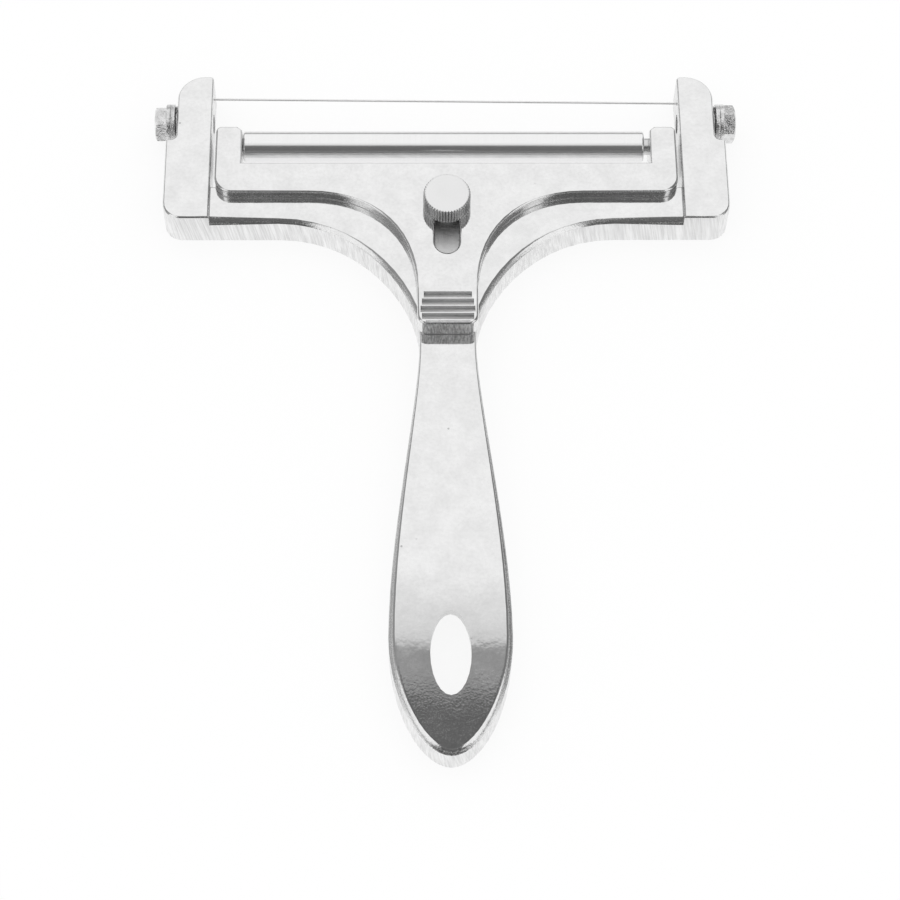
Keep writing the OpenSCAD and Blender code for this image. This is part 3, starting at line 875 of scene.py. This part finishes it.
def clampTree():  # knurls whatever is wider than the floor of its grooves
    tree, nodes, given = newTree(
        "clampKnurl",
        {
            "Grooves": "NodeSocketFloat",
            "Depth": "NodeSocketFloat",
            "Radius": "NodeSocketFloat",
            "Place": "NodeSocketVector",
        },
    )
    x, y, z = nodes.axes(nodes.add("GeometryNodeInputPosition"))
    reach = (x * x + y * y).root()
    turn = x.maths("ARCTAN2", y, x)
    crest = abs(turn.maths("COSINE", turn * given.output("Grooves") * 0.5))
    limit = given.output("Radius") - given.output("Depth") * (1 - crest)
    scale = reach.atMost(limit) / reach.atLeast(clampSizes["middle"])
    spot = nodes.add("ShaderNodeCombineXYZ", sockets={0: x * scale, 1: y * scale, 2: z})
    cut = nodes.add("GeometryNodeSetPosition", sockets={"Geometry": given, "Position": spot})
    placed = nodes.add(
        "GeometryNodeTransform", sockets={"Geometry": cut, "Translation": given.output("Place")}
    )
    finishTree(nodes, placed, finishes["knob"])
    return tree


def makeClampScrew():
    low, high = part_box("thumbscrew")
    tip, top, foot = low[2], high[2], high[2] - clampSizes["head"]
    radius, shank = clampSizes["radius"], clampSizes["shank"]
    footEdge, topEdge = clampSizes["footEdge"], clampSizes["topEdge"]
    footSteps, topSteps = clampSizes["footSteps"], clampSizes["topSteps"]
    profile = [(0, tip)]
    profile += rounded((shank, tip), (0, tip), (shank, foot), clampSizes["shankEdge"])
    profile += [(shank, foot)]
    profile += rounded((radius, foot), (shank, foot), (radius, top), footEdge, footSteps)
    profile += rounded((radius, top), (radius, foot), (0, top), topEdge, topSteps)
    profile += [(0, top)]
    screw = turned("clampScrew", profile, clampSizes["segments"])
    grown(
        screw,
        clampTree(),
        {
            "Grooves": clampSizes["grooves"],
            "Depth": clampSizes["grooveDepth"],
            "Radius": radius,
            "Place": clampSizes["place"],
        },
    )
    settled(smoothed(screw, clampSizes["sharp"]))
    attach(screw, "thumbscrew")
    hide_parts("thumbscrew")


washerSizes = {
    "inner": 2.15 * mm,
    "outer": 4.1 * mm,
    "thickness": 0.9 * mm,
    "edge": 0.14 * mm,
    "edgeSteps": 3,
    "segments": 72,
    "first": 56.29 * mm,  # middle of an inner washer, along X
    "place": (0, 65.9 * mm, 4.2 * mm),
}


def washerTree():  # two washers at each arm
    tree, nodes, given = newTree(
        "wireWashers",
        {"First": "NodeSocketFloat", "Step": "NodeSocketFloat", "Place": "NodeSocketVector"},
    )
    row = nodes.add("GeometryNodeMeshLine", sockets={"Count": 4})
    index = nodes.add("GeometryNodeInputIndex")
    side = index % 2 * 2 - 1
    layer = index.maths("FLOOR", index * 0.5)
    x = side * (given.output("First") + layer * given.output("Step"))
    spots = nodes.add(
        "GeometryNodeSetPosition",
        sockets={
            "Geometry": row,
            "Position": nodes.add("ShaderNodeCombineXYZ", sockets={0: x, 1: 0.0, 2: 0.0}),
            "Offset": given.output("Place"),
        },
    )
    stacks = nodes.add(
        "GeometryNodeInstanceOnPoints", sockets={"Points": spots, "Instance": given}
    )
    finishTree(nodes, stacks, finishes["washer"])
    return tree


def makeWashers():
    inner, outer, edge = washerSizes["inner"], washerSizes["outer"], washerSizes["edge"]
    half, steps = washerSizes["thickness"] / 2, washerSizes["edgeSteps"]
    profile = [(inner, -half)]
    profile += rounded((outer, -half), (inner, -half), (outer, half), edge, steps)
    profile += rounded((outer, half), (outer, -half), (inner, half), edge, steps)
    profile += [(inner, half), (inner, -half)]
    washers = turned("wireWashers", profile, washerSizes["segments"], "X")
    smoothed(washers)
    grown(
        washers,
        washerTree(),
        {
            "First": washerSizes["first"],
            "Step": washerSizes["thickness"],
            "Place": washerSizes["place"],
        },
    )
    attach(washers, "frame")
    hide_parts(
        "left_outer_washer",
        "left_inner_washer",
        "right_outer_washer",
        "right_inner_washer",
    )


wireSizes = {
    "radius": 0.25 * mm,
    "sides": 20,
    "inside": 48 * mm,  # inner side of an arm, along X
    "loopAt": 55.57 * mm,
    "height": 6.8 * mm,
    "leftDrop": 70.3 * mm,  # along Y
    "rightDrop": 69.3 * mm,
    "screw": Vector((65.9 * mm, 4.2 * mm)),  # along Y and Z
    "exitReach": 3.6 * mm,  # from the screw's axis
    "exitTurn": math.radians(30),
    "bend": 0.3 * mm,
    "bendSteps": 8,
    "loopRadius": 2.3 * mm,
    "loopTurn": math.radians(300),
    "loopSteps": 48,
    "sharp": math.radians(50),
}


def heading(turn):  # a direction in the Y-Z plane
    return Vector((math.cos(turn), math.sin(turn)))


def wireHalf(side):  # through an arm, and round its screw
    screw, radius = wireSizes["screw"], wireSizes["loopRadius"]
    out = screw + wireSizes["exitReach"] * heading(wireSizes["exitTurn"])
    bend, at = wireSizes["bend"], wireSizes["loopAt"]
    away = screw - out
    start = math.atan2(away.y, away.x) + math.asin(radius / away.length)
    drop = wireSizes["rightDrop"] if side > 0 else wireSizes["leftDrop"]
    points = [(side * wireSizes["inside"], drop, wireSizes["height"])]
    for i in range(wireSizes["bendSteps"] + 1):
        turn = math.pi / 2 * i / wireSizes["bendSteps"]
        spot = out + bend * (1 - math.cos(turn)) * heading(start)
        points.append((side * (at - bend * (1 - math.sin(turn))), spot.x, spot.y))
    for i in range(wireSizes["loopSteps"] + 1):
        turn = start + math.pi / 2 - wireSizes["loopTurn"] * i / wireSizes["loopSteps"]
        spot = screw + radius * heading(turn)
        points.append((side * at, spot.x, spot.y))
    return points


def wireTree():  # a round tube along the wire's route
    tree, nodes, given = newTree(
        "cuttingWire", {"Radius": "NodeSocketFloat", "Sides": "NodeSocketInt"}
    )
    route = nodes.add("GeometryNodeMeshToCurve", sockets={0: given})
    ring = nodes.add(
        "GeometryNodeCurvePrimitiveCircle",
        sockets={"Resolution": given.output("Sides"), "Radius": given.output("Radius")},
    )
    tube = nodes.add(
        "GeometryNodeCurveToMesh",
        sockets={"Curve": route, "Profile Curve": ring, "Fill Caps": True},
    )
    finishTree(nodes, tube, finishes["wire"])
    return tree


def makeWire():
    points = wireHalf(-1)[::-1] + wireHalf(1)
    mesh = bpy.data.meshes.new("cuttingWire")
    mesh.from_pydata(points, [(i, i + 1) for i in range(len(points) - 1)], [])
    wire = newPiece("cuttingWire", mesh)
    grown(wire, wireTree(), {"Radius": wireSizes["radius"], "Sides": wireSizes["sides"]})
    settled(smoothed(wire, wireSizes["sharp"]))
    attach(wire, "frame")
    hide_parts("cutting_wire")


wireScrewSizes = {
    "sharp": math.radians(20),
}


def makeWireScrews():
    for node, name, body in (
        ("left_wire_screw", "leftWireScrew", "left_screw"),
        ("right_wire_screw", "rightWireScrew", "right_screw"),
    ):
        screw = cadCopy(node, name)
        screw.data.materials.append(finishes["screw"])
        settled(smoothed(screw, wireScrewSizes["sharp"]))
        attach(screw, body)
        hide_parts(node)


makeFrame()
makeCarriage()
print("castings ready")
makeRoller()
makeClampScrew()
makeWashers()
makeWire()
makeWireScrews()
print("pieces ready")
